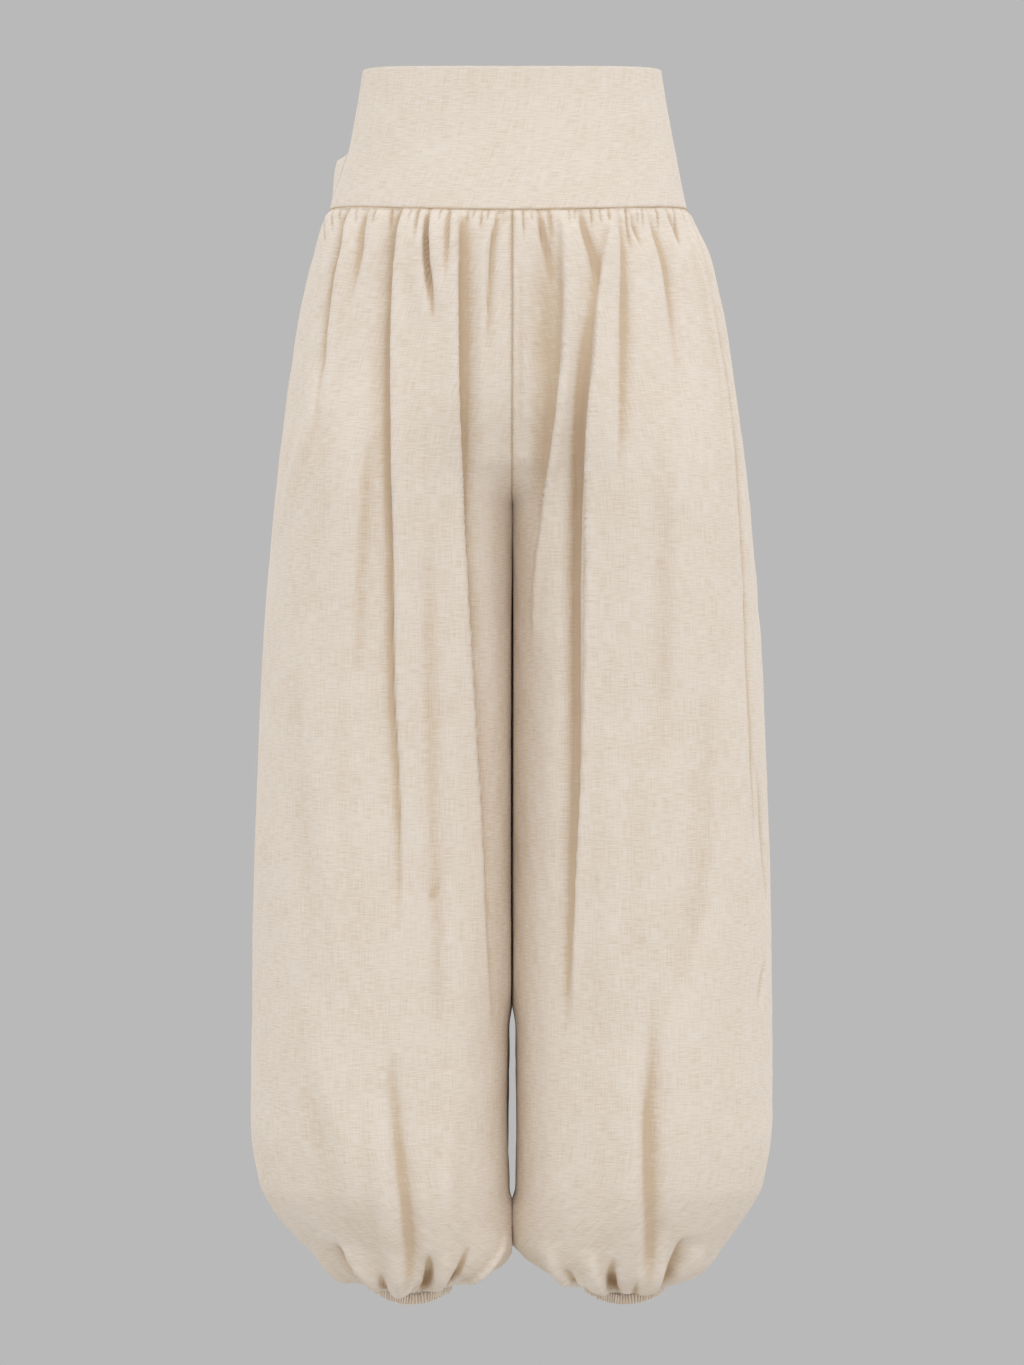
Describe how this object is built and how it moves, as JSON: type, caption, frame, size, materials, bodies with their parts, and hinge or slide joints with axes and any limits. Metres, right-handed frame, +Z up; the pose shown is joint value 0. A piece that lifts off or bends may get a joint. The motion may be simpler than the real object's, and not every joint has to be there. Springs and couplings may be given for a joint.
{
  "type": "balloon-leg jogger trousers",
  "caption": "Full-length trousers with a deep smooth waistband, gathered balloon legs and narrow elasticated hems, standing open as worn.",
  "frame": {"origin": "middle of the waist, 25 mm below the waistband's top edge at the side seams", "axes": "+Z up, -Y to the garment's front, +X to the wearer's left"},
  "size_m": [0.4264, 0.2736, 1.0107],
  "materials": {
    "linen": "matte plain weave, undyed"
  },
  "bodies": {
    "root": {"band_front": "linen", "band_back": "linen", "right_leg_front": "linen", "right_leg_back": "linen", "left_leg_front": "linen", "left_leg_back": "linen", "right_cuff": "linen", "left_cuff": "linen"}
  },
  "joints": []
}
